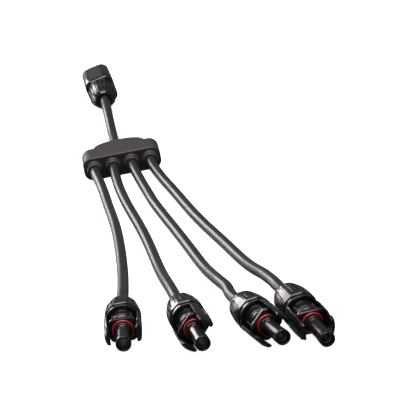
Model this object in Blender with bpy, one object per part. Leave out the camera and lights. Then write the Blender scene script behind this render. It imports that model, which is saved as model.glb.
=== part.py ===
"""Four-to-one solar branch cable.

A flat junction block joins one trunk cable to four branch cables.  Each branch ends in a nosed socket
connector with two latch arms, and the trunk ends in a shrouded pin connector with two latch windows.

The frame is in metres.  Its origin is the middle of the junction block's underside, +Z is up, the trunk
leaves the block towards +Y and the branches towards -Y.  Each connector is modelled about its own axis:
local +Z runs towards its mating end, and local zero is the plane where cap nut and housing meet.
"""

import math

import bmesh
import bpy
from mathutils import Matrix, Vector

MM = 0.001
GAP = 0.3  # clearance between touching pieces, mm

# Cable, mm
CABLE_DIAMETER = 6.0
CABLE_CLEARANCE = 0.35
CABLE_BORE = CABLE_DIAMETER / 2 + CABLE_CLEARANCE
CABLE_POINT_SPACING = 17.5
CABLE_STRAIGHT = 12.0  # straight run of cable behind each cap nut

# Junction block, mm
BLOCK_WIDTH = 47.6
BLOCK_FRONT = -15.0
BLOCK_BACK = 7.0
BLOCK_HEIGHT = 14.0
BLOCK_EDGE = 5.4
HUMP_WIDTH = 33.0
HUMP_BACK = 18.0
BOSS_BACK = 26.0
BOSS_RADIUS = 4.1
BOSS_BASE_RADIUS = 6.2
TRUNK_X = -1.5
BRANCH_PITCH = 11.4
COLLAR_RADIUS = 4.6
COLLAR_LENGTH = 4.5
CABLE_HEIGHT = 6.8
CABLE_DEPTH = 9.0  # how far each cable reaches into the block
SPLICE_WIDTH = 40.0

# Cap nut, mm
NUT_LENGTH = 22.5
NUT_FLATS = 10
NUT_FLAT_RADIUS = 9.1
NUT_CORNER_RADIUS = 9.35
NUT_BORE = 6.9
NUT_BORE_DEPTH = 13.5
GRIP_OFFSET = 1.5
GRIP_WIDTH = 0.9
GRIP_DEPTH = 0.6
ROUND_SIDES = 20

# Housings, mm along the connector's axis from the nut
THREAD_RADIUS = 6.5
THREAD_START = -12.6
SHOULDER_RADIUS = 8.7
SHOULDER_END = 3.0
GLAND_BORE = 4.9
GLAND_END = -4.5
CONTACT_BORE = 2.65
NECK_RADIUS = 6.0
PLATE_START = 12.5
PLATE_END = 15.5
PLATE_WIDTH = 13.9
PLATE_HEIGHT = 11.8
PLATE_CORNER = 3.2
LIP_RADIUS = 4.5
RING_SEAT_RADIUS = 3.9
RING_MINOR = 0.58
RING_MAJOR = 4.8
NOSE_RADIUS = 3.5
HEAD_RADIUS = 3.8
NOSE_END = 37.0
SHROUD_WIDTH = 19.0
SHROUD_CORNER = 5.0
SHROUD_END = 36.0
PIN_RADIUS = 1.95

# Latch arms, mm
ARM_HINGE_X = 8.4
ARM_HINGE_Z = SHOULDER_END + GAP + 0.3
ARM_INNER = 7.1
ARM_POCKET = 8.05  # inner side beside the front plate

# Where each socket connector lies: the point of its axis at the nut's front face (mm), then its yaw to
# the right, its nose-down tilt and its roll (degrees)
SOCKETS = (
    ((-15.7, -287.4, 10.2), -2.4, -3.2, -2.0),
    ((15.5, -301.6, 9.9), 5.9, -0.4, 47.0),
    ((47.3, -315.6, 9.9), 13.4, -1.0, 42.0),
    ((68.3, -320.4, 9.9), 11.4, 4.2, -4.0),
)
PLUG = ((-3.6, 149.0, 10.6), 181.6, 0.0, -12.0)

# Routes of the free cables between block and connectors, mm
BRANCH_ROUTES = (
    (
        (-16.8, -27.0, 6.5), (-15.5, -38.0, 5.3), (-14.5, -50.0, 3.9), (-13.7, -64.0, 3.2),
        (-13.0, -80.0, 3.0), (-12.0, -98.0, 3.0), (-11.2, -116.0, 3.0), (-10.8, -134.0, 3.0),
        (-10.8, -152.0, 3.0), (-11.0, -170.0, 3.0), (-11.4, -188.0, 3.1), (-11.9, -205.0, 3.8),
        (-12.5, -220.0, 5.2), (-13.0, -233.0, 6.6), (-13.6, -244.0, 7.7),
    ),
    (
        (-5.7, -27.0, 6.5), (-5.4, -38.0, 5.3), (-4.8, -51.0, 3.9), (-3.7, -66.0, 3.2),
        (-2.3, -83.0, 3.0), (-0.5, -101.0, 3.0), (1.4, -119.0, 3.0), (3.2, -138.0, 3.0),
        (4.7, -157.0, 3.0), (5.9, -176.0, 3.0), (6.9, -194.0, 3.2), (7.9, -211.0, 4.0),
        (8.9, -227.0, 5.7), (9.9, -241.0, 7.6), (11.0, -255.0, 9.0),
    ),
    (
        (6.1, -27.0, 6.5), (7.5, -39.0, 5.2), (9.2, -53.0, 3.7), (11.1, -70.0, 3.1),
        (12.9, -88.0, 3.0), (15.3, -106.0, 3.0), (18.0, -125.0, 3.0), (20.8, -144.0, 3.0),
        (23.5, -163.0, 3.0), (26.1, -182.0, 3.0), (28.6, -201.0, 3.1), (31.0, -220.0, 4.0),
        (33.4, -238.0, 6.0), (35.7, -254.0, 8.1), (38.0, -268.0, 9.3),
    ),
    (
        (17.4, -27.0, 6.5), (19.2, -38.0, 5.2), (22.0, -53.0, 3.7), (25.2, -71.0, 3.1),
        (28.0, -89.0, 3.0), (30.8, -108.0, 3.0), (33.8, -127.0, 3.0), (37.2, -146.0, 3.0),
        (41.0, -165.0, 3.0), (44.8, -184.0, 3.0), (48.3, -203.0, 3.2), (51.5, -222.0, 4.2),
        (54.2, -240.0, 6.5), (56.6, -255.0, 9.0), (58.8, -269.0, 11.0),
    ),
)
TRUNK_ROUTE = (
    (-1.6, 30.0, 6.7), (-1.7, 34.5, 6.5), (-1.8, 39.0, 6.3), (-1.9, 43.5, 6.1), (-2.0, 48.0, 5.9),
    (-2.1, 53.0, 5.9), (-2.2, 58.0, 6.0), (-2.3, 63.0, 6.3), (-2.3, 68.5, 6.8), (-2.4, 74.0, 7.4),
    (-2.4, 80.0, 8.2), (-2.5, 86.0, 9.0), (-2.5, 92.0, 9.7), (-2.5, 98.0, 10.2), (-2.6, 104.0, 10.5),
)


# Helpers


def clear_scene():
    for obj in list(bpy.data.objects):
        bpy.data.objects.remove(obj)


def make_material(name, color, roughness, metallic=0.0):
    material = bpy.data.materials.new(name)
    material.use_nodes = True
    shader = material.node_tree.nodes["Principled BSDF"]
    shader.inputs["Base Color"].default_value = (*color, 1.0)
    shader.inputs["Roughness"].default_value = roughness
    shader.inputs["Metallic"].default_value = metallic
    return material


def add_object(name, data, material=None, parent=None, location=(0, 0, 0), spin=0.0):
    """Link an object; its location is in mm under its parent, and spin turns it about local Z."""
    obj = bpy.data.objects.new(name, data)
    bpy.context.scene.collection.objects.link(obj)
    obj.parent = parent
    obj.location = Vector(location) * MM
    obj.rotation_euler = (0.0, 0.0, math.radians(spin))
    if material:
        data.materials.append(material)
    return obj


def add_cutter(name, mesh, parent, spin=0.0):
    cutter = add_object(name, mesh, parent=parent, spin=spin)
    cutter.hide_render = True
    cutter.display_type = "WIRE"
    return cutter


def combine(obj, other, operation):
    modifier = obj.modifiers.new(operation.title() + " " + other.name, "BOOLEAN")
    modifier.object = other
    modifier.operation = operation
    modifier.solver = "EXACT"


def mesh_from(name, points, faces, smooth_angle=None):
    """Build a mesh from points in mm, with its faces turned outwards."""
    mesh = bpy.data.meshes.new(name)
    mesh.from_pydata([Vector(point) * MM for point in points], [], faces)
    shell = bmesh.new()
    shell.from_mesh(mesh)
    bmesh.ops.recalc_face_normals(shell, faces=shell.faces)
    shell.to_mesh(mesh)
    shell.free()
    if smooth_angle:
        mesh.shade_smooth()
        mesh.set_sharp_from_angle(angle=math.radians(smooth_angle))
    return mesh


def turned(name, outline, sides=ROUND_SIDES, flats=0, start=0.0):
    """Turn a closed outline of (radius, height) about Z, starting at a share of one side from +X.

    A third value True on a point puts it on a prism of that many flats, whose corners are cut back.
    """
    points = []
    rings = []
    for radius, height, *on_flats in outline:
        if radius == 0:
            rings.append([len(points)] * sides)
            points.append((0, 0, height))
            continue
        rings.append(range(len(points), len(points) + sides))
        for step in range(sides):
            angle = 2 * math.pi * (step + start) / sides
            reach = radius
            if on_flats:
                pitch = 2 * math.pi / flats
                off_centre = (angle + pitch / 2) % pitch - pitch / 2
                corner = NUT_CORNER_RADIUS / NUT_FLAT_RADIUS
                reach = radius * min(1 / math.cos(off_centre), corner)
            points.append((reach * math.cos(angle), reach * math.sin(angle), height))
    faces = []
    for this, following in zip(rings, rings[1:] + rings[:1]):
        for step in range(sides):
            ahead = (step + 1) % sides
            corners = [this[step], this[ahead], following[ahead], following[step]]
            face = list(dict.fromkeys(corners))
            if len(face) > 2:
                faces.append(face)
    return mesh_from(name, points, faces, smooth_angle=32)


def lofted(name, sections, smooth_angle=None):
    """Skin equal-length sections, each a list of (x, y, z), and close both ends."""
    count = len(sections[0])
    points = [point for section in sections for point in section]
    faces = [list(range(count)), list(range(len(points) - count, len(points)))]
    for level in range(len(sections) - 1):
        base = level * count
        for step in range(count):
            ahead = (step + 1) % count
            faces.append([base + step, base + ahead, base + count + ahead, base + count + step])
    return mesh_from(name, points, faces, smooth_angle)


def box_faces(start):
    corners = ((0, 1, 3, 2), (4, 6, 7, 5), (0, 4, 5, 1), (2, 3, 7, 6), (0, 2, 6, 4), (1, 5, 7, 3))
    return [[start + corner for corner in face] for face in corners]


def boxes(name, spans, turns=(0.0,)):
    """Make separate boxes from spans of x, y and z, repeated at each turn (degrees) about Z."""
    points = []
    faces = []
    for turn in turns:
        rotation = Matrix.Rotation(math.radians(turn), 3, "Z")
        for span_x, span_y, span_z in spans:
            faces += box_faces(len(points))
            points += [rotation @ Vector((x, y, z)) for x in span_x for y in span_y for z in span_z]
    return mesh_from(name, points, faces)


def rounded_rectangle(width, height, radius, steps=4):
    """Points of a rounded rectangle about (0, 0), counter-clockwise from the right side."""
    points = []
    for quarter, (side, rise) in enumerate(((1, 1), (-1, 1), (-1, -1), (1, -1))):
        for step in range(steps + 1):
            angle = math.pi / 2 * (quarter + step / steps)
            x = side * (width / 2 - radius) + radius * math.cos(angle)
            y = rise * (height / 2 - radius) + radius * math.sin(angle)
            points.append((x, y))
    return points


# Cables


def smooth_route(points, spacing):
    """Read points at even steps from a smooth curve through all the route's points."""
    knots = [Vector(point) for point in points]
    knots = [2 * knots[0] - knots[1], *knots, 2 * knots[-1] - knots[-2]]
    dense = []
    for before, start, end, after in zip(knots, knots[1:], knots[2:], knots[3:]):
        for step in range(12):
            t = step / 12
            dense.append(
                0.5 * (2 * start + (end - before) * t + (2 * before - 5 * start + 4 * end - after) * t**2
                       + (3 * start - before - 3 * end + after) * t**3)
            )
    dense.append(knots[-2])
    travelled = [0.0]
    for start, end in zip(dense, dense[1:]):
        travelled.append(travelled[-1] + (end - start).length)
    count = max(2, round(travelled[-1] / spacing))
    route = []
    index = 0
    for step in range(count + 1):
        target = travelled[-1] * step / count
        while index < len(dense) - 2 and travelled[index + 1] < target:
            index += 1
        share = (target - travelled[index]) / (travelled[index + 1] - travelled[index])
        route.append(dense[index].lerp(dense[index + 1], share))
    return route


def make_cable(name, block_end, route, connector, material):
    """One jacket: a straight run in the block, the free route, and a straight run in the connector."""
    behind_nut = connector @ Vector((0, 0, -NUT_LENGTH - CABLE_STRAIGHT))
    inside = connector @ Vector((0, 0, GLAND_END - GAP))
    collar = Vector(block_end) + (Vector(route[0]) - Vector(block_end)).normalized() * CABLE_DEPTH
    points = [Vector(block_end), *smooth_route([collar, *route, behind_nut], CABLE_POINT_SPACING), inside]
    curve = bpy.data.curves.new(name, "CURVE")
    curve.dimensions = "3D"
    curve.bevel_depth = CABLE_DIAMETER / 2 * MM
    curve.bevel_resolution = 3
    curve.use_fill_caps = True
    spline = curve.splines.new("POLY")
    spline.points.add(len(points) - 1)
    for target, point in zip(spline.points, points):
        target.co = (*(point * MM), 1.0)
    add_object(name, curve, material)


# Junction block


def make_block(material, splice_material):
    """A flat overmoulding with a hump at the back, a collar round each branch, and a splice inside."""
    middle = BLOCK_HEIGHT / 2
    ends = []
    for y, inset in ((BLOCK_FRONT, 1.0), (BLOCK_FRONT + 1.0, 0.0), (BLOCK_BACK - 2.0, 0.0), (BLOCK_BACK, 2.0)):
        outline = rounded_rectangle(BLOCK_WIDTH - 2 * inset, BLOCK_HEIGHT - inset, BLOCK_EDGE)
        ends.append([(x, y, z + middle - inset / 2) for x, z in outline])
    block = add_object("junction_block", lofted("junction_block", ends, 40), material)

    hump = []
    half = HUMP_WIDTH / 2
    rise = HUMP_BACK - BLOCK_BACK + 1.0
    arc = [math.pi * step / 12 for step in range(13)]
    for z, inset in ((0.4, 0.6), (1.2, 0.0), (BLOCK_HEIGHT - 1.6, 0.0), (BLOCK_HEIGHT - 0.5, 1.0)):
        reach = half - inset
        back = [(reach * math.cos(a), BLOCK_BACK - 1.0 + (rise - inset) * math.sin(a), z) for a in arc]
        hump.append([*back, (-reach, 0.0, z), (reach, 0.0, z)])
    combine(block, add_cutter("hump", lofted("hump", hump, 40), None), "UNION")

    collar = turned("collar", (
        (0, -4.0), (COLLAR_RADIUS + 0.6, -4.0), (COLLAR_RADIUS, COLLAR_LENGTH - 0.5),
        (COLLAR_RADIUS - 0.5, COLLAR_LENGTH), (0, COLLAR_LENGTH),
    ))
    length = BOSS_BACK - HUMP_BACK
    boss = turned("boss", (
        (0, -6.0), (BOSS_BASE_RADIUS, -6.0), (BOSS_BASE_RADIUS, 0.5), (BOSS_RADIUS + 0.2, length - 1.0),
        (BOSS_RADIUS - 0.2, length), (0, length),
    ))
    bore = turned("bore", ((0, 0.0), (CABLE_BORE, 0.0), (CABLE_BORE, 30.0), (0, 30.0)), start=0.5)
    branches = [(place - 1.5) * BRANCH_PITCH for place in range(4)]
    collar_inside = BLOCK_FRONT - COLLAR_LENGTH + CABLE_DEPTH + GAP
    boss_inside = BOSS_BACK - CABLE_DEPTH - GAP
    tools = [("collar", collar, x, BLOCK_FRONT, 90, "UNION") for x in branches]
    tools.append(("boss", boss, TRUNK_X, HUMP_BACK, -90, "UNION"))
    tools += [("bore", bore, x, collar_inside, 90, "DIFFERENCE") for x in branches]
    tools.append(("bore", bore, TRUNK_X, boss_inside, -90, "DIFFERENCE"))
    for number, (name, mesh, x, y, turn, operation) in enumerate(tools):
        tool = add_cutter(f"{name}_tool_{number + 1}", mesh, None)
        tool.location = Vector((x, y, CABLE_HEIGHT)) * MM
        tool.rotation_euler = (math.radians(turn), 0.0, 0.0)
        combine(block, tool, operation)

    low = BLOCK_FRONT - COLLAR_LENGTH + CABLE_DEPTH
    high = BOSS_BACK - CABLE_DEPTH
    half = SPLICE_WIDTH / 2
    bar = (low + 2.0, low + 7.0)
    room = (CABLE_HEIGHT - 1.7, CABLE_HEIGHT + 1.7)
    core = (CABLE_HEIGHT - 1.2, CABLE_HEIGHT + 1.2)
    cavity = boxes("cavity", (((-half, half), (low, bar[1] + GAP), room),))
    passage = boxes("passage", (((TRUNK_X - 2.5, TRUNK_X + 2.5), (bar[0], high + 1.0), room),))
    combine(block, add_cutter("cavity", cavity, None), "DIFFERENCE")
    combine(block, add_cutter("passage", passage, None), "DIFFERENCE")

    splice_mesh = boxes("splice_bar", (((-half + GAP, half - GAP), bar, core),))
    splice = add_object("splice_bar", splice_mesh, splice_material)
    tail = boxes("splice_tail", (((TRUNK_X - 2.0, TRUNK_X + 2.0), (bar[1] - 1.0, high - GAP), core),))
    combine(splice, add_cutter("splice_tail", tail, None), "UNION")


# Pieces of a connector


def nut_mesh():
    """A ten-sided cap nut, tapered at the cable end, bored for the thread and the clamp ring."""
    rear = -NUT_LENGTH
    outline = (
        (CABLE_BORE + 0.1, rear), (4.9, rear, True), (5.8, rear + 1.0, True), (7.1, rear + 4.0, True),
        (8.3, rear + 9.0, True), (8.9, rear + 14.5, True), (NUT_FLAT_RADIUS, -0.5, True),
        (NUT_FLAT_RADIUS - 0.4, 0.0, True), (NUT_BORE, 0.0), (NUT_BORE, -NUT_BORE_DEPTH),
        (CABLE_BORE + 0.8, rear + 1.8), (CABLE_BORE + 0.1, rear + 1.8),
    )
    return turned("cap_nut", outline, flats=NUT_FLATS)


def grip_mesh():
    """Cutters for the finger grips: a pair of narrow slots along each flat, which follow its taper."""
    points = []
    faces = []
    stations = ((-20.2, 6.75), (-13.5, 8.3), (-8.0, 8.9), (-3.5, 9.0))
    for place in range(NUT_FLATS):
        turn = Matrix.Rotation(2 * math.pi * place / NUT_FLATS, 3, "Z")
        for side in (-GRIP_OFFSET, GRIP_OFFSET):
            base = len(points)
            for z, radius in stations:
                low, high = radius - GRIP_DEPTH, radius + 2.0
                near, far = side - GRIP_WIDTH / 2, side + GRIP_WIDTH / 2
                corners = ((low, near, z), (high, near, z), (high, far, z), (low, far, z))
                points += [turn @ Vector(corner) for corner in corners]
            faces += [[base + 3 - step for step in range(4)], [len(points) - 4 + step for step in range(4)]]
            for level in range(len(stations) - 1):
                start = base + 4 * level
                for step in range(4):
                    ahead = (step + 1) % 4
                    faces.append([start + step, start + ahead, start + 4 + ahead, start + 4 + step])
    return mesh_from("grips", points, faces)


def clamp_mesh():
    rear = -NUT_LENGTH + 1.8 + GAP
    front = THREAD_START - 0.5
    outline = (
        (CABLE_BORE, rear), (CABLE_BORE + 0.5, rear), (6.2, rear + 6.4), (6.2, front), (CABLE_BORE, front),
    )
    return turned("clamp_ring", outline)


def seal_mesh():
    outline = (
        (CABLE_BORE, THREAD_START + 0.4), (GLAND_BORE - GAP, THREAD_START + 0.4),
        (GLAND_BORE - GAP, GLAND_END - 1.0), (CABLE_BORE, GLAND_END - 1.0),
    )
    return turned("gland_seal", outline)


def contact_mesh():
    """A socket contact: crimp barrel at the cable end, open socket at the nose end."""
    body = CONTACT_BORE - 0.2
    end = NOSE_END - 2.0
    outline = (
        (0, GLAND_END + 7.0), (1.6, GLAND_END + 7.0), (1.6, GLAND_END), (body, GLAND_END), (body, end),
        (PIN_RADIUS + 0.05, end), (PIN_RADIUS + 0.05, end - 12.0), (0, end - 12.0),
    )
    return turned("socket_contact", outline)


def pin_mesh():
    body = CONTACT_BORE - 0.2
    outline = (
        (0, GLAND_END + 7.0), (1.6, GLAND_END + 7.0), (1.6, GLAND_END), (body, GLAND_END),
        (body, PLATE_START - 0.5), (PIN_RADIUS, PLATE_START), (PIN_RADIUS, SHROUD_END - 6.5),
        (PIN_RADIUS - 1.1, SHROUD_END - 5.0), (0, SHROUD_END - 5.0),
    )
    return turned("pin_contact", outline)


def ring_mesh():
    centre = PLATE_END + GAP + RING_MINOR
    turns = [math.pi / 4 * step for step in range(8)]
    outline = [(RING_MAJOR + RING_MINOR * math.cos(a), centre + RING_MINOR * math.sin(a)) for a in turns]
    return turned("o_ring", outline)


def socket_housing_mesh():
    """Thread, shoulder, neck, seal seat and hollow nose in one turned body."""
    lip = PLATE_END + 2 * (GAP + RING_MINOR)
    outline = (
        (GLAND_BORE, THREAD_START), (THREAD_RADIUS, THREAD_START), (THREAD_RADIUS, GAP), (SHOULDER_RADIUS, GAP),
        (SHOULDER_RADIUS, SHOULDER_END), (NECK_RADIUS, SHOULDER_END), (NECK_RADIUS, PLATE_START + 1.0),
        (RING_SEAT_RADIUS, PLATE_START + 1.0), (RING_SEAT_RADIUS, lip), (LIP_RADIUS, lip),
        (LIP_RADIUS, lip + 1.6), (NOSE_RADIUS, lip + 2.2), (NOSE_RADIUS, NOSE_END - 5.4),
        (HEAD_RADIUS, NOSE_END - 5.0), (HEAD_RADIUS, NOSE_END - 0.4), (HEAD_RADIUS - 0.4, NOSE_END),
        (CONTACT_BORE, NOSE_END), (CONTACT_BORE, GLAND_END), (GLAND_BORE, GLAND_END),
    )
    return turned("socket_housing", outline)


def plate_mesh():
    """The flat front plate between the latch arms, with a hole that the neck's core fills."""
    outline = [Vector(point) for point in rounded_rectangle(PLATE_WIDTH, PLATE_HEIGHT, PLATE_CORNER, steps=3)]
    hole = [point.normalized() * (CONTACT_BORE + 0.8) for point in outline]
    loops = ((outline, PLATE_START), (outline, PLATE_END), (hole, PLATE_END), (hole, PLATE_START))
    count = len(outline)
    points = [(*point, z) for loop, z in loops for point in loop]
    faces = []
    for level in range(len(loops)):
        base, following = level * count, (level + 1) % len(loops) * count
        for step in range(count):
            ahead = (step + 1) % count
            faces.append([base + step, base + ahead, following + ahead, following + step])
    return mesh_from("front_plate", points, faces)


def arm_mesh():
    """A latch arm on the +X side about its hinge: rounded outside, hooked at its tip, and relieved inside
    where the front plate would meet it when it is pressed."""
    sections = []
    for z, inner, outer, half, relief in (
        (SHOULDER_END + GAP, ARM_INNER, 9.1, 5.0, 0), (6.0, ARM_INNER, 9.3, 5.1, 0),
        (11.6, ARM_INNER, 9.3, 5.1, 0), (11.9, ARM_INNER, 9.3, 5.1, 1), (16.0, ARM_INNER, 9.2, 5.05, 1),
        (16.3, ARM_INNER, 9.2, 5.0, 0), (18.5, ARM_INNER, 9.0, 4.9, 0), (21.0, ARM_INNER - 0.2, 8.6, 4.5, 0),
        (21.2, ARM_INNER - 0.2, 9.1, 4.5, 0), (22.4, ARM_INNER - 0.4, 9.1, 4.3, 0),
        (25.0, ARM_INNER - 0.8, 7.9, 3.7, 0),
    ):
        heights = [half * (step / 4 - 1) for step in range(9)]
        section = [(math.sqrt(outer**2 - h**2 * 0.9) - ARM_HINGE_X, h, z - ARM_HINGE_Z) for h in heights]
        floor = ARM_POCKET if relief else inner
        edge = half - 0.2
        for x, h in ((inner, half), (inner, edge), (floor, 3.4), (floor, -3.4), (inner, -edge), (inner, -half)):
            section.append((x - ARM_HINGE_X, h, z - ARM_HINGE_Z))
        sections.append(section)
    return lofted("latch_arm", sections, 32)


def shroud_mesh():
    """The square-shouldered body of the pin connector, solid."""
    sections = []
    for z, inset in ((GAP, 0.6), (1.2, 0.0), (SHROUD_END - 1.0, 0.0), (SHROUD_END, 0.8)):
        width = SHROUD_WIDTH - 2 * inset
        sections.append([(x, y, z) for x, y in rounded_rectangle(width, width, SHROUD_CORNER, steps=5)])
    return lofted("plug_housing", sections, 32)


def plug_core_meshes():
    """The thread behind the pin connector's body, and the stepped bore through both."""
    thread = turned("plug_thread", (
        (0, THREAD_START), (THREAD_RADIUS, THREAD_START), (THREAD_RADIUS, 2.0), (0, 2.0),
    ))
    bore = turned("plug_bore", (
        (0, THREAD_START - 1.0), (GLAND_BORE, THREAD_START - 1.0), (GLAND_BORE, GLAND_END),
        (CONTACT_BORE, GLAND_END), (CONTACT_BORE, PLATE_START), (4.3, PLATE_START),
        (4.3, SHROUD_END - 5.5), (6.2, SHROUD_END - 5.0), (6.2, SHROUD_END + 1.0), (0, SHROUD_END + 1.0),
    ), start=0.5)
    return thread, bore


def add_axis(name, place):
    """An empty on a connector's axis, with local +Z towards its mating end and local +Y up."""
    point, yaw, tilt, roll = place
    axis = add_object(name, None, location=point)
    axis.rotation_euler = (math.radians(90 + tilt), 0.0, math.radians(yaw))
    rotation = Matrix.Rotation(math.radians(yaw), 4, "Z") @ Matrix.Rotation(math.radians(90 + tilt), 4, "X")
    return axis, Matrix.Translation(Vector(point)) @ rotation, roll


def add_gland(number, axis, meshes, materials):
    """Cap nut, clamp ring and seal, the same behind every connector."""
    nut = add_object(f"cap_nut_{number}", meshes["nut"].copy(), materials["nut"], axis, spin=18.0)
    combine(nut, add_cutter(f"grips_{number}", meshes["grips"], axis, spin=18.0), "DIFFERENCE")
    add_object(f"clamp_ring_{number}", meshes["clamp"].copy(), materials["clamp"], axis)
    add_object(f"gland_seal_{number}", meshes["seal"].copy(), materials["seal"], axis)


def add_socket(number, place, meshes, materials):
    axis, matrix, roll = add_axis(f"socket_axis_{number}", place)
    add_gland(number, axis, meshes, materials)
    housing = add_object(f"socket_housing_{number}", meshes["socket"].copy(), materials["housing"], axis)
    housing.rotation_euler.z = math.radians(roll)
    combine(housing, add_cutter(f"front_plate_{number}", meshes["plate"], axis, spin=roll), "UNION")
    add_object(f"o_ring_{number}", meshes["ring"].copy(), materials["ring"], axis)
    add_object(f"socket_contact_{number}", meshes["contact"].copy(), materials["contact"], axis)
    for side, turn in (("right", 0.0), ("left", 180.0)):
        angle = math.radians(roll + turn)
        hinge = (ARM_HINGE_X * math.cos(angle), ARM_HINGE_X * math.sin(angle), ARM_HINGE_Z)
        name = f"latch_arm_{side}_{number}"
        add_object(name, meshes["arm"].copy(), materials["arm"], axis, hinge, roll + turn)
    return matrix


def add_plug(number, place, meshes, materials):
    axis, matrix, roll = add_axis("plug_axis", place)
    add_gland(number, axis, meshes, materials)
    housing = add_object("plug_housing", shroud_mesh(), materials["housing"], axis, spin=roll)
    thread, bore = plug_core_meshes()
    half = SHROUD_WIDTH / 2
    pads = (
        ((-3.6, 3.6), (half - 1.5, half + 0.5), (2.0, SHROUD_END - 2.0)),
        ((-3.6, 3.6), (-half - 0.5, -half + 1.5), (2.0, SHROUD_END - 2.0)),
    )
    channels = (((6.9, 8.5), (-5.1, 5.1), (SHROUD_END - 14.0, SHROUD_END + 1.0)),)
    windows = (((5.4, 12.0), (-3.0, 7.2), (SHROUD_END - 12.0, SHROUD_END - 7.5)),)
    mirrored = (((-12.0, -5.4), (-3.0, 7.2), (SHROUD_END - 12.0, SHROUD_END - 7.5)),)
    for name, mesh, operation in (
        ("plug_thread", thread, "UNION"), ("plug_pads", boxes("plug_pads", pads), "UNION"),
        ("plug_bore", bore, "DIFFERENCE"),
        ("channels", boxes("channels", channels, (0.0, 180.0)), "DIFFERENCE"),
        ("window_right", boxes("window_right", windows), "DIFFERENCE"),
        ("window_left", boxes("window_left", mirrored), "DIFFERENCE"),
    ):
        combine(housing, add_cutter(name, mesh, axis, spin=roll), operation)
    add_object("pin_contact", pin_mesh(), materials["contact"], axis)
    return matrix


def main():
    clear_scene()
    materials = {
        "block": make_material("block_rubber", (0.030, 0.027, 0.026), 0.55),
        "splice": make_material("splice_copper", (0.72, 0.36, 0.20), 0.35, 1.0),
        "cable": make_material("cable_jacket", (0.022, 0.023, 0.026), 0.42),
        "nut": make_material("nut_plastic", (0.010, 0.010, 0.011), 0.20),
        "housing": make_material("housing_plastic", (0.008, 0.008, 0.009), 0.22),
        "arm": make_material("arm_plastic", (0.009, 0.009, 0.010), 0.22),
        "clamp": make_material("clamp_plastic", (0.020, 0.020, 0.022), 0.40),
        "seal": make_material("seal_rubber", (0.030, 0.030, 0.032), 0.60),
        "ring": make_material("ring_rubber", (0.62, 0.02, 0.02), 0.30),
        "contact": make_material("contact_tin", (0.78, 0.76, 0.72), 0.25, 1.0),
    }
    meshes = {
        "nut": nut_mesh(), "grips": grip_mesh(), "clamp": clamp_mesh(), "seal": seal_mesh(),
        "contact": contact_mesh(), "ring": ring_mesh(), "socket": socket_housing_mesh(),
        "plate": plate_mesh(), "arm": arm_mesh(),
    }
    make_block(materials["block"], materials["splice"])
    for place, (socket, route) in enumerate(zip(SOCKETS, BRANCH_ROUTES)):
        matrix = add_socket(place + 1, socket, meshes, materials)
        x = (place - 1.5) * BRANCH_PITCH
        block_end = (x, BLOCK_FRONT - COLLAR_LENGTH + CABLE_DEPTH, CABLE_HEIGHT)
        make_cable(f"branch_cable_{place + 1}", block_end, route, matrix, materials["cable"])
    matrix = add_plug(5, PLUG, meshes, materials)
    block_end = (TRUNK_X, BOSS_BACK - CABLE_DEPTH, CABLE_HEIGHT)
    make_cable("trunk_cable", block_end, TRUNK_ROUTE, matrix, materials["cable"])


main()
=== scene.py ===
"""Looks for a four-to-one solar branch cable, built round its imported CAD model.

Lengths in this script are millimetres until a mesh or curve is made.  Each connector is modelled about its
own axis: local +Z runs towards its mating end, and local zero is where cap nut and housing meet.
"""

import math

import bmesh
import bpy
from mathutils import Matrix, Vector


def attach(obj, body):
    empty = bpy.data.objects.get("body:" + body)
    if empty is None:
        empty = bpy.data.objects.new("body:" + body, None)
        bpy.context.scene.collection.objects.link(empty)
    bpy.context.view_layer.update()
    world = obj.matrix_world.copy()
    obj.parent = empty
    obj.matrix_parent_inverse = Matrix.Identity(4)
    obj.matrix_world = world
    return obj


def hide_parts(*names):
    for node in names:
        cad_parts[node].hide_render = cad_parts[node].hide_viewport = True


MM = 0.001
GAP = 0.3
CABLE_RADIUS = 3.0
CABLE_HEIGHT = 6.8
BLOCK_WIDTH = 47.6
BLOCK_FRONT = -15.0
BLOCK_BACK = 7.0
BLOCK_HEIGHT = 14.0
HUMP_WIDTH = 33.0
HUMP_BACK = 18.0
BOSS_BACK = 26.0
TRUNK_X = -1.5
BRANCH_PITCH = 11.4
COLLAR_LENGTH = 4.5

# Connectors: radii, and heights along the axis from the plane where cap nut and housing meet
NUT_LENGTH = 22.5
NUT_FLATS = 10
NUT_FLAT_RADIUS = 9.1
NUT_SPIN = 18.0
NUT_BORE = 6.9
GRIP_START = -20.2
GRIP_END = -3.5
GRIP_DEPTH = 0.95
THREAD_START = -12.6
THREAD_RADIUS = 6.5
THREAD_PITCH = 1.5
THREAD_DEPTH = 0.55
GLAND_BORE = 4.9
GLAND_END = -4.5
SHOULDER_RADIUS = 8.7
SHOULDER_END = 3.0
NECK_RADIUS = 5.8
RIDGE_RADIUS = 6.3
PLATE_START = 12.5
PLATE_END = 15.5
PLATE_WIDTH = 13.9
PLATE_HEIGHT = 11.8
PLATE_CORNER = 3.2
RING_MAJOR = 4.8
RING_MINOR = 0.58
RING_SEAT_RADIUS = 3.9
LIP_RADIUS = 4.5
LIP_START = PLATE_END + 2 * (GAP + RING_MINOR)
NOSE_RADIUS = 3.5
HEAD_RADIUS = 3.78
NOSE_BORE = 2.7
NOSE_END = 37.0
CONTACT_RADIUS = 2.45
CONTACT_END = NOSE_END - 2.0
ARM_INNER = 7.1
ARM_POCKET = 8.05
SHROUD_END = 36.0
SHROUD_WIDTH = 19.0
PIN_BORE = 2.65

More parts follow.
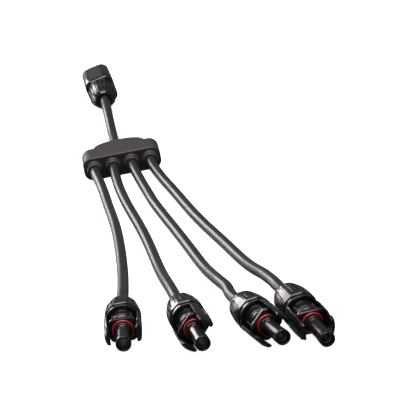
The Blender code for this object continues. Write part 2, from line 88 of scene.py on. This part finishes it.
# Point of the axis at the nut's front face, then yaw to the right, nose-down tilt and roll in degrees
SOCKETS = (
    ((-15.7, -287.4, 10.2), -2.4, -3.2, -2.0),
    ((15.5, -301.6, 9.9), 5.9, -0.4, 47.0),
    ((47.3, -315.6, 9.9), 13.4, -1.0, 42.0),
    ((68.3, -320.4, 9.9), 11.4, 4.2, -4.0),
)
PLUG = ((-3.6, 149.0, 10.6), 181.6, 0.0, -12.0)

BRANCH_ROUTES = (
    (
        (-16.8, -27.0, 6.5), (-15.5, -38.0, 5.3), (-14.5, -50.0, 3.9), (-13.7, -64.0, 3.2),
        (-13.0, -80.0, 3.0), (-12.0, -98.0, 3.0), (-11.2, -116.0, 3.0), (-10.8, -134.0, 3.0),
        (-10.8, -152.0, 3.0), (-11.0, -170.0, 3.0), (-11.4, -188.0, 3.1), (-11.9, -205.0, 3.8),
        (-12.5, -220.0, 5.2), (-13.0, -233.0, 6.6), (-13.6, -244.0, 7.7),
    ),
    (
        (-5.7, -27.0, 6.5), (-5.4, -38.0, 5.3), (-4.8, -51.0, 3.9), (-3.7, -66.0, 3.2),
        (-2.3, -83.0, 3.0), (-0.5, -101.0, 3.0), (1.4, -119.0, 3.0), (3.2, -138.0, 3.0),
        (4.7, -157.0, 3.0), (5.9, -176.0, 3.0), (6.9, -194.0, 3.2), (7.9, -211.0, 4.0),
        (8.9, -227.0, 5.7), (9.9, -241.0, 7.6), (11.0, -255.0, 9.0),
    ),
    (
        (6.1, -27.0, 6.5), (7.5, -39.0, 5.2), (9.2, -53.0, 3.7), (11.1, -70.0, 3.1),
        (12.9, -88.0, 3.0), (15.3, -106.0, 3.0), (18.0, -125.0, 3.0), (20.8, -144.0, 3.0),
        (23.5, -163.0, 3.0), (26.1, -182.0, 3.0), (28.6, -201.0, 3.1), (31.0, -220.0, 4.0),
        (33.4, -238.0, 6.0), (35.7, -254.0, 8.1), (38.0, -268.0, 9.3),
    ),
    (
        (17.4, -27.0, 6.5), (19.2, -38.0, 5.2), (22.0, -53.0, 3.7), (25.2, -71.0, 3.1),
        (28.0, -89.0, 3.0), (30.8, -108.0, 3.0), (33.8, -127.0, 3.0), (37.2, -146.0, 3.0),
        (41.0, -165.0, 3.0), (44.8, -184.0, 3.0), (48.3, -203.0, 3.2), (51.5, -222.0, 4.2),
        (54.2, -240.0, 6.5), (56.6, -255.0, 9.0), (58.8, -269.0, 11.0),
    ),
)
TRUNK_ROUTE = (
    (-1.6, 30.0, 6.7), (-1.7, 34.5, 6.5), (-1.8, 39.0, 6.3), (-1.9, 43.5, 6.1), (-2.0, 48.0, 5.9),
    (-2.1, 53.0, 5.9), (-2.2, 58.0, 6.0), (-2.3, 63.0, 6.3), (-2.3, 68.5, 6.8), (-2.4, 74.0, 7.4),
    (-2.4, 80.0, 8.2), (-2.5, 86.0, 9.0), (-2.5, 92.0, 9.7), (-2.5, 98.0, 10.2), (-2.6, 104.0, 10.5),
)


# Camera, light and floor


def add_camera():
    """A long lens from the front, a little above and to the left."""
    camera = bpy.data.objects.new("camera", bpy.data.cameras.new("camera"))
    bpy.context.scene.collection.objects.link(camera)
    camera.data.sensor_width = 36.0
    camera.data.lens = 190.4
    camera.data.clip_start = 0.01
    camera.data.clip_end = 20.0
    turn = (
        Matrix.Rotation(math.radians(-2.3), 4, "Z")
        @ Matrix.Rotation(math.radians(71.8), 4, "X")
        @ Matrix.Rotation(math.radians(-10.5), 4, "Z")
    )
    camera.matrix_world = Matrix.Translation((-0.00525, -1.29337, 0.3893)) @ turn
    bpy.context.scene.camera = camera


def add_softbox(name, azimuth, elevation, distance, size, power, color):
    """A rectangular light aimed at the object, azimuth counted from +Y towards +X."""
    turn, rise = math.radians(azimuth), math.radians(elevation)
    away = Vector((math.sin(turn) * math.cos(rise), math.cos(turn) * math.cos(rise), math.sin(rise)))
    centre = Vector((0.02, -0.2, 0.01))
    light = bpy.data.lights.new(name, "AREA")
    light.shape = "RECTANGLE"
    light.size, light.size_y = size
    light.energy = power
    light.color = color
    holder = bpy.data.objects.new(name, light)
    bpy.context.scene.collection.objects.link(holder)
    holder.location = centre + away * distance
    holder.rotation_euler = away.to_track_quat("Z", "Y").to_euler()
    holder.visible_camera = False


def add_studio():
    """Soft boxes overhead and behind, a dim world, and a pale floor that reflects nothing onto the object."""
    scene = bpy.context.scene
    scene.view_settings.view_transform = "Standard"
    world = bpy.data.worlds.new("studio")
    world.use_nodes = True
    background = world.node_tree.nodes["Background"]
    background.inputs["Color"].default_value = (0.95, 0.97, 1.0, 1.0)
    background.inputs["Strength"].default_value = 0.10
    scene.world = world
    add_softbox("overhead", 0.0, 88.0, 1.5, (1.2, 1.2), 36.0, (1.0, 0.98, 0.97))
    add_softbox("key", -26.0, 17.0, 2.0, (0.6, 0.8), 11.0, (1.0, 0.90, 0.89))
    add_softbox("window", -44.0, -3.0, 2.0, (0.9, 0.6), 8.0, (0.72, 0.86, 1.0))
    add_softbox("low_left", -14.0, -8.0, 2.0, (0.6, 0.8), 0.7, (0.80, 0.90, 1.0))

    floor = bpy.data.meshes.new("floor")
    half = 4.0
    corners = [(-half, -half, 0.0), (half, -half, 0.0), (half, half, 0.0), (-half, half, 0.0)]
    floor.from_pydata(corners, [], [(0, 1, 2, 3)])
    ground = bpy.data.objects.new("floor", floor)
    bpy.context.scene.collection.objects.link(ground)
    material = surface("studio_floor", (0.86, 0.86, 0.86), (0.82, 0.82, 0.82), (0.7, 0.8), 3.0, 0.0)
    shader = material.node_tree.nodes["Principled BSDF"]
    shader.inputs["Emission Color"].default_value = (1.0, 1.0, 1.0, 1.0)
    shader.inputs["Emission Strength"].default_value = 0.95
    floor.materials.append(material)
    ground.visible_glossy = False
    ground.visible_diffuse = False


# Materials


def surface(name, low, high, roughness, grain, bump, metallic=0.0, edge_highlight=None):
    """A moulded surface: slow colour and roughness drift, and a fine grain as bump.

    grain is the scale of the grain's noise for each mm, bump its height in mm, and edge_highlight the colour
    that convex edges lighten to, a painted highlight along the edges.
    """
    material = bpy.data.materials.new(name)
    material.use_nodes = True
    nodes = material.node_tree.nodes
    links = material.node_tree.links
    shader = nodes["Principled BSDF"]
    shader.inputs["Metallic"].default_value = metallic
    place = nodes.new("ShaderNodeTexCoord")

    drift = nodes.new("ShaderNodeTexNoise")
    drift.inputs["Scale"].default_value = 90.0
    drift.inputs["Detail"].default_value = 4.0
    links.new(place.outputs["Object"], drift.inputs["Vector"])
    colors = nodes.new("ShaderNodeMix")
    colors.data_type = "RGBA"
    colors.inputs["A"].default_value = (*low, 1.0)
    colors.inputs["B"].default_value = (*high, 1.0)
    links.new(drift.outputs["Fac"], colors.inputs["Factor"])
    color = colors.outputs["Result"]

    # Painted highlight: convex edges, found by pointiness, lighten towards this colour as if they caught the
    # light.
    if edge_highlight:
        geometry = nodes.new("ShaderNodeNewGeometry")
        edges = nodes.new("ShaderNodeMapRange")
        edges.inputs["From Min"].default_value = 0.53
        edges.inputs["From Max"].default_value = 0.70
        links.new(geometry.outputs["Pointiness"], edges.inputs["Value"])
        lighter = nodes.new("ShaderNodeMix")
        lighter.data_type = "RGBA"
        lighter.inputs["B"].default_value = (*edge_highlight, 1.0)
        links.new(edges.outputs["Result"], lighter.inputs["Factor"])
        links.new(color, lighter.inputs["A"])
        color = lighter.outputs["Result"]
    links.new(color, shader.inputs["Base Color"])

    patches = nodes.new("ShaderNodeTexNoise")
    patches.inputs["Scale"].default_value = 260.0
    patches.inputs["Detail"].default_value = 6.0
    links.new(place.outputs["Object"], patches.inputs["Vector"])
    rough = nodes.new("ShaderNodeMapRange")
    rough.inputs["To Min"].default_value = roughness[0]
    rough.inputs["To Max"].default_value = roughness[1]
    links.new(patches.outputs["Fac"], rough.inputs["Value"])
    links.new(rough.outputs["Result"], shader.inputs["Roughness"])

    if bump:
        fine = nodes.new("ShaderNodeTexNoise")
        fine.inputs["Scale"].default_value = grain / MM
        fine.inputs["Detail"].default_value = 3.0
        links.new(place.outputs["Object"], fine.inputs["Vector"])
        relief = nodes.new("ShaderNodeBump")
        relief.inputs["Strength"].default_value = 1.0
        relief.inputs["Distance"].default_value = bump * MM
        links.new(fine.outputs["Fac"], relief.inputs["Height"])
        links.new(relief.outputs["Normal"], shader.inputs["Normal"])
    return material


def black_plastic(name, low, high, edge_highlight):
    """Glossy black moulded plastic, with a painted highlight that lightens its convex edges."""
    return surface(name, low, high, (0.19, 0.25), 2.2, 0.0025, edge_highlight=edge_highlight)


def make_materials():
    return {
        "jacket": surface("jacket", (0.014, 0.014, 0.015), (0.022, 0.022, 0.023), (0.28, 0.36), 2.6, 0.006),
        "block": surface(
            "block", (0.026, 0.023, 0.022), (0.036, 0.032, 0.030), (0.46, 0.56), 1.9, 0.03,
            # Painted highlight: the block's convex edges lighten to this colour.
            edge_highlight=(0.06, 0.053, 0.05),
        ),
        # The last colour given to each black plastic is the painted highlight on its convex edges.
        "nut": black_plastic("nut", (0.01, 0.01, 0.011), (0.016, 0.016, 0.018), (0.05, 0.05, 0.052)),
        "housing": black_plastic("housing", (0.008, 0.008, 0.009), (0.013, 0.013, 0.014), (0.04, 0.04, 0.042)),
        "arm": black_plastic("arm", (0.009, 0.009, 0.01), (0.014, 0.014, 0.016), (0.045, 0.045, 0.047)),
        "clamp": surface("clamp", (0.018, 0.018, 0.020), (0.028, 0.028, 0.031), (0.45, 0.60), 2.0, 0.04),
        "seal": surface("seal", (0.028, 0.028, 0.030), (0.040, 0.040, 0.042), (0.60, 0.75), 2.0, 0.05),
        "ring": surface("ring", (0.50, 0.018, 0.015), (0.60, 0.030, 0.024), (0.30, 0.38), 2.4, 0.004),
        "tin": surface("tin", (0.72, 0.70, 0.67), (0.82, 0.80, 0.77), (0.18, 0.32), 3.0, 0.02, 1.0),
        "copper": surface("copper", (0.66, 0.33, 0.19), (0.76, 0.42, 0.26), (0.28, 0.42), 3.0, 0.02, 1.0),
    }


# Mesh helpers


def add_piece(name, data, material, body, replaced, matrix=None):
    """Link a visual piece that rides on a body and stands in for the CAD nodes it names."""
    piece = bpy.data.objects.new(name, data)
    bpy.context.scene.collection.objects.link(piece)
    if material.name not in data.materials:
        data.materials.append(material)
    if matrix is not None:
        piece.matrix_world = matrix
    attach(piece, body)
    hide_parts(*replaced)
    return piece


def mesh_from(name, points, faces, smooth_angle=35):
    """Build a mesh from points in mm, with its faces turned outwards and its edges sharp past an angle."""
    mesh = bpy.data.meshes.new(name)
    mesh.from_pydata([Vector(point) * MM for point in points], [], faces)
    shell = bmesh.new()
    shell.from_mesh(mesh)
    bmesh.ops.recalc_face_normals(shell, faces=shell.faces)
    shell.to_mesh(mesh)
    shell.free()
    mesh.shade_smooth()
    mesh.set_sharp_from_angle(angle=math.radians(smooth_angle))
    return mesh


def joined(name, meshes):
    """One mesh from several shells."""
    shell = bmesh.new()
    for mesh in meshes:
        shell.from_mesh(mesh)
        bpy.data.meshes.remove(mesh)
    result = bpy.data.meshes.new(name)
    shell.to_mesh(result)
    shell.free()
    return result


def rounded(outline, steps=4):
    """Round the corners of a closed outline of (radius, height, fillet)."""
    corners = []
    count = len(outline)
    for index, (radius, height, fillet) in enumerate(outline):
        here = Vector((radius, height))
        before = Vector(outline[index - 1][:2]) - here
        after = Vector(outline[(index + 1) % count][:2]) - here
        if fillet == 0 or before.length == 0 or after.length == 0:
            corners.append(here)
            continue
        reach = min(fillet, before.length * 0.45, after.length * 0.45)
        start = here + before.normalized() * reach
        end = here + after.normalized() * reach
        for step in range(steps + 1):
            t = step / steps
            corners.append(start * (1 - t) ** 2 + here * 2 * t * (1 - t) + end * t**2)
    return [(corner.x, corner.y) for corner in corners]


def skin(name, rings, wrapped, smooth_angle=35):
    """Faces between neighbouring rings of points; wrapped joins the last ring to the first."""
    count = len(rings[0])
    points = [point for ring in rings for point in ring]
    faces = []
    for level in range(len(rings) if wrapped else len(rings) - 1):
        base = level * count
        upper = (level + 1) % len(rings) * count
        for step in range(count):
            ahead = (step + 1) % count
            faces.append([base + step, base + ahead, upper + ahead, upper + step])
    if not wrapped:
        faces.append(list(range(count)))
        faces.append(list(range(len(points) - count, len(points))))
    return mesh_from(name, points, faces, smooth_angle)


def lathe(name, outline, sides=64):
    """Turn a closed outline of (radius, height) about Z."""
    angles = [2 * math.pi * step / sides for step in range(sides)]
    rings = []
    for radius, height in outline:
        rings.append([(radius * math.cos(a), radius * math.sin(a), height) for a in angles])
    return skin(name, rings, True)


def rounded_rectangle(width, height, radius, steps=8):
    points = []
    for quarter, (side, rise) in enumerate(((1, 1), (-1, 1), (-1, -1), (1, -1))):
        for step in range(steps + 1):
            angle = math.pi / 2 * (quarter + step / steps)
            x = side * (width / 2 - radius) + radius * math.cos(angle)
            y = rise * (height / 2 - radius) + radius * math.sin(angle)
            points.append((x, y))
    return points


def box(name, span_x, span_y, span_z):
    points = [(x, y, z) for x in span_x for y in span_y for z in span_z]
    faces = [(0, 1, 3, 2), (4, 6, 7, 5), (0, 4, 5, 1), (2, 3, 7, 6), (0, 2, 6, 4), (1, 5, 7, 3)]
    return mesh_from(name, points, faces)


def bevelled(piece, width, angle=35):
    bevel = piece.modifiers.new("Bevel", "BEVEL")
    bevel.width = width * MM
    bevel.segments = 2
    bevel.limit_method = "ANGLE"
    bevel.angle_limit = math.radians(angle)
    bevel.harden_normals = True


def connector_matrix(place, roll=0.0):
    """Where a connector's axis is in the frame; roll turns a piece about it."""
    point, yaw, tilt, _ = place
    return (
        Matrix.Translation(Vector(point) * MM)
        @ Matrix.Rotation(math.radians(yaw), 4, "Z")
        @ Matrix.Rotation(math.radians(90 + tilt), 4, "X")
        @ Matrix.Rotation(math.radians(roll), 4, "Z")
    )


# Cables


def smooth_route(points, spacing):
    """Read points at even steps from a smooth curve through all the route's points."""
    knots = [Vector(point) for point in points]
    knots = [2 * knots[0] - knots[1], *knots, 2 * knots[-1] - knots[-2]]
    dense = []
    for before, start, end, after in zip(knots, knots[1:], knots[2:], knots[3:]):
        for step in range(12):
            t = step / 12
            dense.append(
                0.5 * (2 * start + (end - before) * t + (2 * before - 5 * start + 4 * end - after) * t**2
                       + (3 * start - before - 3 * end + after) * t**3)
            )
    dense.append(knots[-2])
    travelled = [0.0]
    for start, end in zip(dense, dense[1:]):
        travelled.append(travelled[-1] + (end - start).length)
    count = max(2, round(travelled[-1] / spacing))
    route = []
    index = 0
    for step in range(count + 1):
        target = travelled[-1] * step / count
        while index < len(dense) - 2 and travelled[index + 1] < target:
            index += 1
        share = (target - travelled[index]) / (travelled[index + 1] - travelled[index])
        route.append(dense[index].lerp(dense[index + 1], share))
    return route


def add_cable(name, exit_point, route, place, material):
    """A jacketed cable from the block's exit, along its route and into the back of its connector."""
    axis = connector_matrix(place)
    behind_nut = axis @ (Vector((0, 0, -NUT_LENGTH - 12.0)) * MM) / MM
    inside = axis @ (Vector((0, 0, -5.0)) * MM) / MM
    points = smooth_route([exit_point, *route, behind_nut, inside], 4.0)
    curve = bpy.data.curves.new(name, "CURVE")
    curve.dimensions = "3D"
    curve.bevel_depth = CABLE_RADIUS * MM
    curve.bevel_resolution = 8
    curve.use_fill_caps = True
    spline = curve.splines.new("POLY")
    spline.points.add(len(points) - 1)
    for target, point in zip(spline.points, points):
        target.co = (*(point * MM), 1.0)
    spline.use_smooth = True
    piece = add_piece(name + "_jacket", curve, material, "harness", [name])


# Junction block


def add_block(material):
    """The overmoulding: shells united by a fine remesh, which also softens every edge as the mould does."""
    middle = BLOCK_HEIGHT / 2
    ends = []
    for y, inset in (
        (BLOCK_FRONT, 0.7), (BLOCK_FRONT + 0.25, 0.3), (BLOCK_FRONT + 0.7, 0.0),
        (BLOCK_BACK - 1.6, 0.0), (BLOCK_BACK - 0.6, 0.5), (BLOCK_BACK, 1.6),
    ):
        outline = rounded_rectangle(BLOCK_WIDTH - 2 * inset, BLOCK_HEIGHT - inset, 5.4, 10)
        ends.append([(x, y, z + middle - inset / 2) for x, z in outline])
    shells = [skin("body", ends, False)]

    half = HUMP_WIDTH / 2
    rise = HUMP_BACK - BLOCK_BACK + 1.0
    arc = [math.pi * step / 48 for step in range(49)]
    levels = []
    for z, inset in (
        (0.3, 1.2), (0.8, 0.4), (1.6, 0.0), (BLOCK_HEIGHT - 2.0, 0.0), (BLOCK_HEIGHT - 1.0, 0.4),
        (BLOCK_HEIGHT - 0.3, 1.1), (BLOCK_HEIGHT - 0.02, 2.2),
    ):
        reach = half - inset
        depth = rise - inset
        back = [(reach * math.cos(a), BLOCK_BACK - 1.0 + depth * math.sin(a) ** 0.85, z) for a in arc]
        levels.append([*back, (-reach, -4.0, z), (reach, -4.0, z)])
    shells.append(skin("hump", levels, False))

    for place in range(4):
        collar = lathe("collar", rounded((
            (0.01, 4.0, 0), (5.2, 4.0, 0), (4.5, -COLLAR_LENGTH, 0.8), (0.01, -COLLAR_LENGTH, 0),
        )), 48)
        shift = Vector(((place - 1.5) * BRANCH_PITCH, BLOCK_FRONT, CABLE_HEIGHT)) * MM
        collar.transform(Matrix.Translation(shift) @ Matrix.Rotation(math.radians(-90), 4, "X"))
        shells.append(collar)
    boss = lathe("boss", rounded((
        (0.01, -6.0, 0), (6.4, -6.0, 0), (6.2, 0.5, 1.0), (4.2, BOSS_BACK - HUMP_BACK, 0.8),
        (0.01, BOSS_BACK - HUMP_BACK, 0),
    )), 48)
    shift = Vector((TRUNK_X, HUMP_BACK, CABLE_HEIGHT)) * MM
    boss.transform(Matrix.Translation(shift) @ Matrix.Rotation(math.radians(-90), 4, "X"))
    shells.append(boss)

    block = add_piece("block_moulding", joined("block_moulding", shells), material, "harness",
                      ["junction_block"])
    remesh = block.modifiers.new("Remesh", "REMESH")
    remesh.mode = "VOXEL"
    remesh.voxel_size = 0.42 * MM
    remesh.use_smooth_shade = True
    smooth = block.modifiers.new("Smooth", "SMOOTH")
    smooth.factor = 0.5
    smooth.iterations = 4


# Connectors


def nut_mesh():
    """Ten flats, each with two narrow grip slots, which taper in towards the cable end."""
    flank = (0.4, 0.98, 1.05, 1.5, 1.95, 2.02, 2.7)
    across = [-2.94, *(-offset for offset in reversed(flank)), *flank] * NUT_FLATS
    per_flat = len(across) // NUT_FLATS
    angles = [
        2 * math.pi / NUT_FLATS * (place // per_flat) + math.atan2(offset, NUT_FLAT_RADIUS)
        for place, offset in enumerate(across)
    ]
    profile = ((-NUT_LENGTH, 4.7), (-22.3, 5.0), (-21.5, 5.8), (-20.3, 6.45), (-18.5, 7.1), (-16.0, 7.8),
               (-13.5, 8.3), (-11.0, 8.65), (-8.0, 8.9), (-4.0, 9.03), (-0.5, 9.08), (0.0, 8.75))

    def reach(z):
        for (low, start), (high, end) in zip(profile, profile[1:]):
            if z <= high:
                return start + (end - start) * (z - low) / (high - low)

    rows = []
    for z in (
        -NUT_LENGTH, -22.3, -21.9, -21.5, -20.9, -20.3, GRIP_START, -19.4, -18.5, -17.2, -16.0, -14.7, -13.5,
        -11.0, -8.0, -5.0, GRIP_END - 0.1, GRIP_END, -2.0, -0.7, -0.5, -0.25, -0.08, 0.0,
    ):
        ring = []
        radius = reach(z)
        for angle, offset in zip(angles, across):
            polygon = radius / math.cos(math.atan2(offset, NUT_FLAT_RADIUS))
            distance = min(polygon, radius * 1.027)
            if GRIP_START - 0.05 < z < GRIP_END - 0.05 and 1.0 < abs(offset) < 2.0:
                distance -= min(GRIP_DEPTH, 0.3 + (z - GRIP_START) * 0.2)
            ring.append((distance * math.cos(angle), distance * math.sin(angle), z))
        rows.append(ring)
    for radius, z in (
        (NUT_BORE + 0.2, 0.0), (NUT_BORE, -0.2), (NUT_BORE, -13.3), (4.2, -20.6), (3.5, -20.8), (3.35, -22.3),
    ):
        rows.append([(radius * math.cos(angle), radius * math.sin(angle), z) for angle in angles])
    return skin("cap_nut", rows, True, 14)


def thread_rows(end):
    """Outline points of a ridged thread, from the housing's cable end up to end."""
    root = THREAD_RADIUS - THREAD_DEPTH
    rows = []
    z = THREAD_START + 0.4
    while z + THREAD_PITCH <= end:
        rows += [(root, z), (root, z + 0.3), (THREAD_RADIUS, z + 0.7), (THREAD_RADIUS, z + 1.0)]
        z += THREAD_PITCH
    rows.append((root, end))
    return rows


def socket_mesh():
    """Thread, shoulder, ridged neck, front plate, seal seat, lip and hollow nose."""
    core = [(GLAND_BORE, THREAD_START), (THREAD_RADIUS - 0.6, THREAD_START), *thread_rows(GAP)]
    core += rounded((
        (SHOULDER_RADIUS, GAP, 0.3), (SHOULDER_RADIUS, SHOULDER_END, 0.4), (6.2, SHOULDER_END, 0.3),
        (NECK_RADIUS, 4.4, 0.3), (NECK_RADIUS, 7.2, 0.3), (RIDGE_RADIUS, 7.7, 0.5), (RIDGE_RADIUS, 9.1, 0.5),
        (NECK_RADIUS, 9.5, 0.2), (RIDGE_RADIUS, 9.9, 0.5), (RIDGE_RADIUS, 11.5, 0.5),
        (NECK_RADIUS, 12.0, 0.2), (NECK_RADIUS, PLATE_START + 0.3, 0),
        (RING_SEAT_RADIUS, PLATE_START + 0.3, 0), (RING_SEAT_RADIUS, LIP_START - 0.06, 0),
        (LIP_RADIUS, LIP_START, 0.2), (LIP_RADIUS, 18.8, 0.3), (NOSE_RADIUS + 0.1, 19.4, 0.3),
        (NOSE_RADIUS, NOSE_END - 5.6, 0.4), (HEAD_RADIUS, NOSE_END - 5.0, 0.3), (HEAD_RADIUS, NOSE_END, 0.6),
        (NOSE_BORE + 0.25, NOSE_END, 0.2), (NOSE_BORE, NOSE_END - 0.5, 0), (NOSE_BORE, GLAND_END, 0),
        (GLAND_BORE, GLAND_END, 0),
    ), 5)
    plate = []
    for z, inset in (
        (PLATE_START, 0.5), (PLATE_START + 0.15, 0.18), (PLATE_START + 0.5, 0.0), (PLATE_END - 0.5, 0.0),
        (PLATE_END - 0.15, 0.18), (PLATE_END, 0.5),
    ):
        outline = rounded_rectangle(PLATE_WIDTH - 2 * inset, PLATE_HEIGHT - 2 * inset, PLATE_CORNER - inset)
        plate.append([(x, y, z) for x, y in outline])
    length = (SHOULDER_END - 1.0, PLATE_START + 0.5)
    keys = [box("key", (side - 0.6, side + 0.6), (-4.2, 4.2), length) for side in (-4.4, 4.4)]
    return joined("socket_body", [lathe("core", core), skin("plate", plate, False), *keys])


def arm_mesh():
    """A latch arm on the +X side, about the connector's axis, with its barb and a recess along it.

    Inside, it is relieved beside the front plate, so that it clears the plate when it is pressed.
    """
    flank = (0.28, 0.31, 0.42, 0.6, 0.8, 0.94, 1.0)
    shares = [*(-share for share in reversed(flank)), 0.0, *flank]
    sections = []
    for z, drop, outer, half, recess, relief in (
        (3.3, 0, 8.8, 4.8, 0, 0), (3.6, 0, 9.05, 5.0, 0, 0), (6.0, 0, 9.25, 5.1, 0, 0),
        (6.3, 0, 9.25, 5.1, 0.4, 0), (11.6, 0, 9.28, 5.1, 0.4, 0), (11.9, 0, 9.28, 5.1, 0.4, 1),
        (15.3, 0, 9.2, 5.08, 0.4, 1), (15.6, 0, 9.2, 5.05, 0, 1), (16.0, 0, 9.2, 5.05, 0, 1),
        (16.3, 0, 9.2, 5.0, 0, 0), (18.5, 0, 9.0, 4.9, 0, 0), (21.0, 0.2, 8.6, 4.5, 0, 0),
        (21.15, 0.2, 9.1, 4.5, 0, 0), (22.4, 0.4, 9.1, 4.3, 0, 0), (24.3, 0.65, 8.3, 3.9, 0, 0),
        (24.95, 0.75, 7.95, 3.7, 0, 0),
    ):
        section = []
        for share in shares:
            height = half * share
            radius = outer - (recess if abs(share) < 0.3 else 0.0) - (0.3 if abs(share) == 1.0 else 0.0)
            section.append((math.sqrt(radius**2 - height**2 * 0.9), height, z))
        inner = ARM_INNER - drop
        floor = ARM_POCKET if relief else inner
        edge = half - 0.25
        section += [(inner, edge, z), (floor, 3.4, z), (floor, -3.4, z), (inner, -edge, z)]
        sections.append(section)
    return skin("latch_arm", sections, False, 30)


def ring_mesh():
    centre = PLATE_END + GAP + RING_MINOR
    outline = []
    for step in range(20):
        angle = 2 * math.pi * step / 20
        outline.append((RING_MAJOR + RING_MINOR * math.cos(angle), centre + RING_MINOR * math.sin(angle)))
    return lathe("o_ring", outline, 72)


def contact_mesh():
    """The tinned socket: a tube with a chamfered mouth and a stem towards the cable."""
    return lathe("socket_contact", rounded((
        (0.01, 2.5, 0), (1.6, 2.5, 0.2), (1.6, GLAND_END, 0), (CONTACT_RADIUS, GLAND_END, 0.2),
        (CONTACT_RADIUS, CONTACT_END, 0.1), (2.3, CONTACT_END, 0.05), (1.85, CONTACT_END - 1.0, 0.1),
        (1.8, CONTACT_END - 12.0, 0), (0.01, CONTACT_END - 12.0, 0),
    )), 48)


def add_gland(number, place, meshes, materials):
    """The cap nut; the clamp ring and seal inside it stay as CAD."""
    nut = add_piece(
        f"nut_{number}_moulding", meshes["nut"], materials["nut"], f"nut_{number}",
        [f"cap_nut_{number}"], connector_matrix(place, NUT_SPIN),
    )
    bevelled(nut, 0.12)
    return nut


def add_socket(number, place, meshes, materials):
    """A socket connector: housing, O-ring, contact and two latch arms in front of its gland."""
    roll = place[3]
    pieces = [add_gland(number, place, meshes, materials)]
    body = add_piece(
        f"socket_{number}_body", meshes["socket"], materials["housing"], "harness",
        [f"socket_housing_{number}"], connector_matrix(place, roll),
    )
    ring = add_piece(
        f"o_ring_{number}_seal", meshes["ring"], materials["ring"], "harness",
        [f"o_ring_{number}"], connector_matrix(place),
    )
    contact = add_piece(
        f"contact_{number}_tube", meshes["contact"], materials["tin"], "harness",
        [f"socket_contact_{number}"], connector_matrix(place),
    )
    pieces += [body, ring, contact]
    for side, turn in (("right", 0.0), ("left", 180.0)):
        arm = add_piece(
            f"arm_{side}_{number}_moulding", meshes["arm"], materials["arm"], f"arm_{side}_{number}",
            [f"latch_arm_{side}_{number}"], connector_matrix(place, roll + turn),
        )
        bevelled(arm, 0.14)
        pieces.append(arm)
    return pieces


def cut(piece, mesh, operation):
    """Apply a Boolean with a mesh in the piece's own space."""
    tool = bpy.data.objects.new(mesh.name, mesh)
    bpy.context.scene.collection.objects.link(tool)
    tool.matrix_world = piece.matrix_world
    modifier = piece.modifiers.new(mesh.name, "BOOLEAN")
    modifier.object = tool
    modifier.operation = operation
    modifier.solver = "EXACT"
    bpy.context.view_layer.update()
    with bpy.context.temp_override(object=piece):
        bpy.ops.object.modifier_apply(modifier=modifier.name)
    bpy.data.objects.remove(tool)


def add_plug(number, place, meshes, materials):
    """The square-shouldered pin connector: pads, channels, windows and a round mouth."""
    nut = add_gland(number, place, meshes, materials)
    sections = []
    for z, inset in (
        (GAP, 1.2), (GAP + 0.4, 0.6), (1.4, 0.15), (2.0, 0.0), (SHROUD_END - 1.2, 0.0),
        (SHROUD_END - 0.5, 0.25), (SHROUD_END, 0.9),
    ):
        width = SHROUD_WIDTH - 2 * inset
        sections.append([(x, y, z) for x, y in rounded_rectangle(width, width, 5.0, 10)])
    body = add_piece(
        "plug_body", skin("plug_body", sections, False), materials["housing"], "harness",
        ["plug_housing"], connector_matrix(place, place[3]),
    )
    half = SHROUD_WIDTH / 2
    for side in (1, -1):
        low, high = sorted((side * (half - 1.5), side * (half + 0.45)))
        cut(body, box("pad", (-3.4, 3.4), (low, high), (SHOULDER_END, SHROUD_END - 2.5)), "UNION")
    thread = [(0.01, THREAD_START), (THREAD_RADIUS - 0.6, THREAD_START), *thread_rows(1.0), (0.01, 1.0)]
    cut(body, lathe("thread", thread, 48), "UNION")
    bore = (
        (0.01, THREAD_START - 0.9), (GLAND_BORE, THREAD_START - 0.9), (GLAND_BORE, GLAND_END),
        (PIN_BORE, GLAND_END), (PIN_BORE, PLATE_START), (4.3, PLATE_START), (4.3, SHROUD_END - 5.5),
        (6.2, SHROUD_END - 5.0), (6.2, SHROUD_END + 1.0), (0.01, SHROUD_END + 1.0),
    )
    cut(body, lathe("bore", bore, 44), "DIFFERENCE")
    channel = (SHROUD_END - 14.0, SHROUD_END + 1.0)
    window = (SHROUD_END - 12.0, SHROUD_END - 7.5)
    for side in (1, -1):
        low, high = sorted((side * 6.9, side * 8.5))
        cut(body, box("channel", (low, high), (-5.1, 5.1), channel), "DIFFERENCE")
        low, high = sorted((side * 5.4, side * 12.0))
        cut(body, box("window", (low, high), (-3.0, 7.2), window), "DIFFERENCE")
    bevelled(body, 0.22, 40)
    return [nut, body]


def paint_cad_nodes(materials):
    """Finishes for the CAD nodes that stay: the hidden inner pieces."""
    finishes = {"splice_bar": "copper", "pin_contact": "tin"}
    for number in range(1, 6):
        finishes[f"clamp_ring_{number}"] = "clamp"
        finishes[f"gland_seal_{number}"] = "seal"
    for name, finish in finishes.items():
        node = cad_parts[name]
        for holder in node.material_slots:
            holder.material = materials[finish]


def main():
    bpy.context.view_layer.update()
    add_camera()
    add_studio()
    materials = make_materials()
    meshes = {
        "nut": nut_mesh(),
        "socket": socket_mesh(),
        "arm": arm_mesh(),
        "ring": ring_mesh(),
        "contact": contact_mesh(),
    }
    add_block(materials["block"])
    for place, (socket, route) in enumerate(zip(SOCKETS, BRANCH_ROUTES)):
        pieces = add_socket(place + 1, socket, meshes, materials)
        exit_point = ((place - 1.5) * BRANCH_PITCH, BLOCK_FRONT - COLLAR_LENGTH, CABLE_HEIGHT)
        add_cable(f"branch_cable_{place + 1}", exit_point, route, socket, materials["jacket"])
    pieces = add_plug(5, PLUG, meshes, materials)
    exit_point = (TRUNK_X, BOSS_BACK, CABLE_HEIGHT)
    add_cable("trunk_cable", exit_point, TRUNK_ROUTE, PLUG, materials["jacket"])
    paint_cad_nodes(materials)


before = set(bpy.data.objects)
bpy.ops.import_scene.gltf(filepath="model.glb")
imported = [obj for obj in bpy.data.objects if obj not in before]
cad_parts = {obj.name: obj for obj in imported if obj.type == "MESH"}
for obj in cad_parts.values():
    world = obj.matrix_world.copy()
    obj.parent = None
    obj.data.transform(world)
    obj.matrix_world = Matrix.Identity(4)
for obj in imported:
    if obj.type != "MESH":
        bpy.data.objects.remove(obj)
main()
